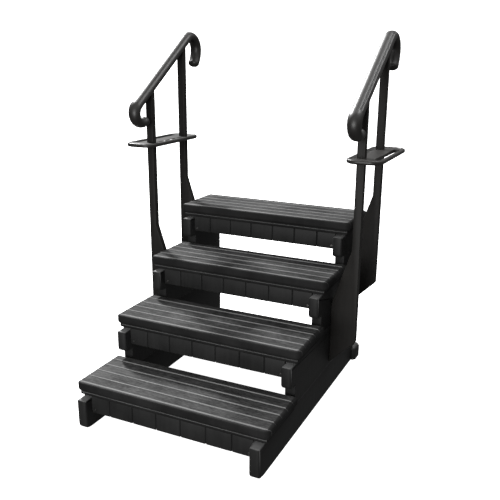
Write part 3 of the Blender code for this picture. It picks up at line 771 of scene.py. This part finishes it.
def makeRailEnd(sideName, side, endName, spot, way):
    # turned end: a shallow collar, then a dome that closes on the axis
    theta = np.linspace(0, np.pi / 2, railEnd["rows"])
    r = rail["radius"]
    dome = np.column_stack([railEnd["collarLength"] + (r - railEnd["collarLength"]) * np.sin(theta),
                            r * railEnd["bulge"] * np.cos(theta)])
    dome[-1, 1] = railEnd["axis"]
    start = np.array([(spigot[0][0], railEnd["axis"])] + [(length, r * share) for length, share in spigot])
    profile = np.concatenate([start, dome])
    angle = np.linspace(0, 2 * np.pi, railEnd["round"], endpoint=False)
    across = np.array([-way[1], way[0]])
    out = profile[:, 1:] * np.cos(angle)
    x = side * railPlane + rail["widening"] * profile[:, 1:] * np.sin(angle)
    y = spot[0] + profile[:, :1] * way[0] + out * across[0]
    z = spot[1] + profile[:, :1] * way[1] + out * across[1]
    item = addSurface(f"{sideName}_{endName}_rail_end", np.stack([x, y, z], -1), railResin)
    settle(item, f"{sideName}_{endName}_rail_cap")


for sideName, side in sides.items():
    makeRail(sideName, side)
print("handrails made")

# ---- towel trays: a round rim, and a web inside it with a slot, a trough and its ribs

tray = {
    "cornerRadius": 0.058,
    "rimWidth": 0.021,
    "rimPower": 2.6,                      # 2 is a round rim, more is squarer
    "webDrop": 0.0030,                    # web's top below the rim's top
    "webThickness": 0.0160,
    "slotRim": 0.019,
    "slotWidth": 0.030,
    "slotLength": 0.360,
    "troughInset": 0.024,
    "troughWidth": 0.024,
    "troughDepth": 0.004,
    "cell": 0.062,
    "rib": 0.008,
    "wallSlope": 0.003,                   # run of the trough's and ribs' sloping walls
    "slotRound": 0.0015,
    "around": 240,                        # points round the rim
    "rimPoints": 28,                      # points round the rim's own section
    "rayCount": 2000,
    "webRows": 44,
}


def roundedLoop(halfX, halfY, radius, angle):
    # where a ray at each angle leaves a rectangle with round corners, found by halving
    direction = np.column_stack([np.cos(angle), np.sin(angle)])
    low = np.zeros(len(angle))
    high = np.full(len(angle), halfX + halfY)
    for _ in range(40):
        middle = (low + high) / 2
        spot = np.abs(direction * middle[:, None])
        past = np.maximum(spot - (halfX - radius, halfY - radius), 0)
        inside = (np.hypot(past[:, 0], past[:, 1]) < radius) & (spot[:, 0] < halfX) & (spot[:, 1] < halfY)
        low = np.where(inside, middle, low)
        high = np.where(inside, high, middle)
    return direction * low[:, None]


def loopNormals(loop):
    # outward directions: the step from the point before to the point after, turned a right angle
    ahead = np.roll(loop, -1, 0) - np.roll(loop, 1, 0)
    normal = np.column_stack([ahead[:, 1], -ahead[:, 0]])
    return normal / np.linalg.norm(normal, axis=1)[:, None]


def evenLoop(loop, count):
    # the same closed loop with its points evenly spaced
    closed = np.vstack([loop, loop[:1]])
    length = np.concatenate([[0], np.cumsum(np.linalg.norm(np.diff(closed, axis=0), axis=1))])
    along = np.linspace(0, length[-1], count, endpoint=False)
    return np.column_stack([np.interp(along, length, closed[:, 0]), np.interp(along, length, closed[:, 1])])


def makeTray(sideName, side):
    # two closed surfaces: a section carried round a loop, and a ring spread from the slot to that loop
    low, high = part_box(f"{sideName}_towel_tray")
    middle = np.array([(low.x + high.x) / 2, (low.y + high.y) / 2])
    halfX, halfY = (high.x - low.x) / 2, (high.y - low.y) / 2
    thick = high.z - low.z
    half = tray["rimWidth"] / 2
    fine = np.linspace(0, 2 * np.pi, tray["rayCount"], endpoint=False)
    outer = roundedLoop(halfX - half, halfY - half, tray["cornerRadius"] - half, fine)
    line = evenLoop(outer, tray["around"])
    normal = loopNormals(line)
    # rim: a squarish round section carried round the loop
    turn = np.linspace(0, 2 * np.pi, tray["rimPoints"], endpoint=False)
    power = 2 / tray["rimPower"]
    out = half * np.sign(np.cos(turn)) * np.abs(np.cos(turn)) ** power
    up = thick / 2 * np.sign(np.sin(turn)) * np.abs(np.sin(turn)) ** power
    flat = line[:, None, :] + normal[:, None, :] * out[None, :, None]
    z = np.broadcast_to((low.z + high.z) / 2 + up, flat.shape[:2])
    rim = np.concatenate([middle + flat, z[..., None]], -1)
    rimItem = addSurface(f"{sideName}_tray_rim", rim, railResin, closeRows=True)
    settle(rimItem, f"{sideName}_towel_tray")
    # web: between the rim's middle line and the slot, as a flat ring with rounded slot edges
    slotX = side * (halfX - tray["slotRim"] - tray["slotWidth"] / 2)
    centre = np.array([slotX, 0])
    slotRadius = tray["slotWidth"] / 2 - 0.0001
    slotLoop = roundedLoop(slotRadius, tray["slotLength"] / 2, slotRadius - 0.0001, fine)
    hole = evenLoop(slotLoop, tray["around"] * 2)
    bearing = np.arctan2(line[:, 1], line[:, 0] - slotX)
    order = np.argsort(bearing)
    bearing, reach = bearing[order], np.hypot(line[order, 0] - slotX, line[order, 1])
    holeAngle = np.arctan2(hole[:, 1], hole[:, 0])
    far = np.interp(holeAngle, bearing, reach, period=2 * np.pi)
    edge = np.column_stack([np.cos(holeAngle), np.sin(holeAngle)]) * far[:, None]
    share = np.linspace(0, 1, tray["webRows"])[:, None, None]
    spread = centre + hole[None] * (1 - share) + edge[None] * share
    top = high.z - tray["webDrop"]
    bottom = top - tray["webThickness"]
    inboard = -side * spread[..., 0] - (halfX - tray["troughInset"] - tray["troughWidth"] / 2)
    cellPlace = np.abs((spread[..., 1] + tray["cell"] / 2) % tray["cell"] - tray["cell"] / 2)
    slope = tray["wallSlope"]
    within = smooth((tray["troughWidth"] / 2 - np.abs(inboard)) / slope)
    within = within * smooth((cellPlace - tray["rib"] / 2) / slope)
    within = within * smooth((tray["slotLength"] / 2 - np.abs(spread[..., 1])) / slope)
    topZ = top - tray["troughDepth"] * within
    topZ[0] -= tray["slotRound"]
    upper = np.concatenate([spread, topZ[..., None]], -1)[::-1]
    lowerFlat = spread[[0, 1, -1]]
    lowerZ = np.array([bottom + tray["slotRound"], bottom, bottom])[:, None]
    lowerZ = np.broadcast_to(lowerZ, lowerFlat.shape[:2])
    lower = np.concatenate([lowerFlat, lowerZ[..., None]], -1)
    web = np.concatenate([upper, lower])
    web[..., :2] += middle
    webItem = addSurface(f"{sideName}_tray_web", web, railResin, closeRows=True)
    settle(webItem, f"{sideName}_towel_tray")


for sideName, side in sides.items():
    makeTray(sideName, side)
print("trays made")

# ---- screws and bolts: domed heads with a hexagonal socket

fastener = {
    "socket": 0.42,                       # radius, over the head's
    "socketDepth": 0.55,                  # over the head's height
    "smallHead": 0.007,                   # a head under this radius is flatter
    "flat": 0.35,                         # height of a small head over its radius
    "tall": 0.55,                         # and of a larger one
    "shank": 0.45,
    "round": 48,
    "axis": 0.00001,
}
# the head's outline: share of its radius, and of its height down from the face
headOutline = ((0.9, 0.14), (0.98, 0.4), (1, 0.7), (1, 1), (fastener["shank"], 1))


def makeFastener(node, axis, way):
    # radius and height along the axis; the socket's rows follow a hexagon
    low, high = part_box(node)
    low, high = np.array(low), np.array(high)
    middle = (low + high) / 2
    across = [index for index in range(3) if index != axis]
    headRadius = (high[across[0]] - low[across[0]]) / 2
    face = high[axis] if way > 0 else low[axis]
    length = high[axis] - low[axis]
    headHeight = fastener["flat" if headRadius < fastener["smallHead"] else "tall"] * headRadius
    turn = np.linspace(0, 2 * np.pi, fastener["round"], endpoint=False)
    hexagon = math.cos(math.pi / 6) / np.cos((turn + math.pi / 6) % (math.pi / 3) - math.pi / 6)
    socket = fastener["socket"] * headRadius
    deep = fastener["socketDepth"] * headHeight
    # rows of radius, depth below the face, and 1 where the row is a hexagon
    inside = [(fastener["axis"], deep, 0), (socket, deep, 1), (socket, 0.0002, 1), (socket * 1.12, 0, 0)]
    outside = [(headRadius * wide, headHeight * down, 0) for wide, down in headOutline]
    end = [(headRadius * fastener["shank"], length, 0), (fastener["axis"], length, 0)]
    rows = np.array(inside + [(headRadius * 0.72, 0.0001, 0)] + outside + end)
    radius = rows[:, :1] * np.where(rows[:, 2:] > 0, hexagon[None, :], 1)
    points = np.zeros(radius.shape + (3,))
    points[..., across[0]] = middle[across[0]] + radius * np.cos(turn)
    points[..., across[1]] = middle[across[1]] + radius * np.sin(turn)
    points[..., axis] = face - way * rows[:, 1:2]
    item = addSurface(f"{node}_head", points, steel, weld=0.00003)
    settle(item, node)


for sideName, side in sides.items():
    for level in levels:
        makeFastener(f"{sideName}_riser_screw_{level}", 1, -1)
    for placeName in places:
        for number in (1, 2):
            makeFastener(f"{sideName}_{placeName}_bolt_{number}", 0, side)
print("screws and bolts made")

# ---- stage: a round pale floor that sweeps up into a wall, and soft lamps

stage = {
    "floorTone": 0.86,
    "floorGlow": 1.05,
    "radius": 8.0,
    "sweep": 2.5,
    "height": 10.0,
    "around": 96,                         # points round the floor
    "skyLow": 0.10,                       # light from below, and from overhead
    "skyHigh": 0.70,
}


def makeFloor():
    # floor line, quarter circle and wall, turned about the upright axis
    sweep = arc(stage["radius"], stage["sweep"], stage["sweep"], 270, 360, 16)
    line = np.vstack([(0.02, 0), sweep, (stage["radius"] + stage["sweep"], stage["height"])])
    around = stage["around"]
    turn = np.linspace(0, 2 * np.pi, around, endpoint=False)[:, None]
    height = np.broadcast_to(line[:, 1], (around, len(line)))
    points = np.stack([line[:, 0] * np.cos(turn), line[:, 0] * np.sin(turn), height], -1)
    faces = gridFaces(around, len(line), True, False).tolist()
    faces.append([row * len(line) for row in range(around)][::-1])
    mesh = bpy.data.meshes.new("floor")
    mesh.from_pydata(points.reshape(-1, 3).tolist(), [], faces)
    mesh.shade_smooth()
    item = bpy.data.objects.new("floor", mesh)
    bpy.context.scene.collection.objects.link(item)
    mesh.materials.append(startMaterial("pale_floor", {
        "Base Color": grey(stage["floorTone"]), "Roughness": 0.9, "Specular IOR Level": 0.0,
        "Emission Color": grey(1.0), "Emission Strength": stage["floorGlow"]})[0])
    item.visible_glossy = False
    item.visible_diffuse = False
    item.visible_shadow = False


lamps = {
    "key": {"place": (-6.8, 4.6, 7.8), "aim": (0, 0, 0.5), "size": 1.1, "power": 1750},
    "top": {"place": (1.6, 1.4, 4.8), "aim": (0, 0, 0.6), "size": 1.6, "power": 60},
    "front": {"place": (0.2, -5.2, 1.4), "aim": (0, 0, 0.7), "size": 2.8, "power": 160},
}


def addLamp(name, look):
    # a round lamp that looks along the line from its place to its aim
    data = bpy.data.lights.new(name, "AREA")
    data.shape = "DISK"
    data.size = look["size"]
    data.energy = look["power"]
    item = bpy.data.objects.new(name, data)
    bpy.context.scene.collection.objects.link(item)
    spot = np.array(look["place"])
    item.location = spot
    direction = np.array(look["aim"]) - spot
    flat = math.hypot(direction[0], direction[1])
    turn = math.atan2(direction[1], direction[0]) - math.pi / 2
    item.rotation_euler = (math.atan2(flat, -direction[2]), 0, turn)


def makeSky():
    # soft dome: dim below the horizon, brighter overhead
    world = bpy.data.worlds.new("studio")
    world.use_nodes = True
    tree = world.node_tree
    way = make(tree, "ShaderNodeTexCoord", output=0)
    height = make(tree, "ShaderNodeSeparateXYZ", None, {0: way}, 2)
    level = stage["skyLow"] + (stage["skyHigh"] - stage["skyLow"]) * height.between(0.0, 0.9)
    background = tree.nodes["Background"]
    background.inputs["Color"].default_value = grey(1.0)
    tree.links.new(level.socket, background.inputs["Strength"])
    bpy.context.scene.world = world


makeFloor()
for lampName, look in lamps.items():
    addLamp(lampName, look)
makeSky()
bpy.context.scene.view_settings.view_transform = "Standard"
print("stage and lamps set")
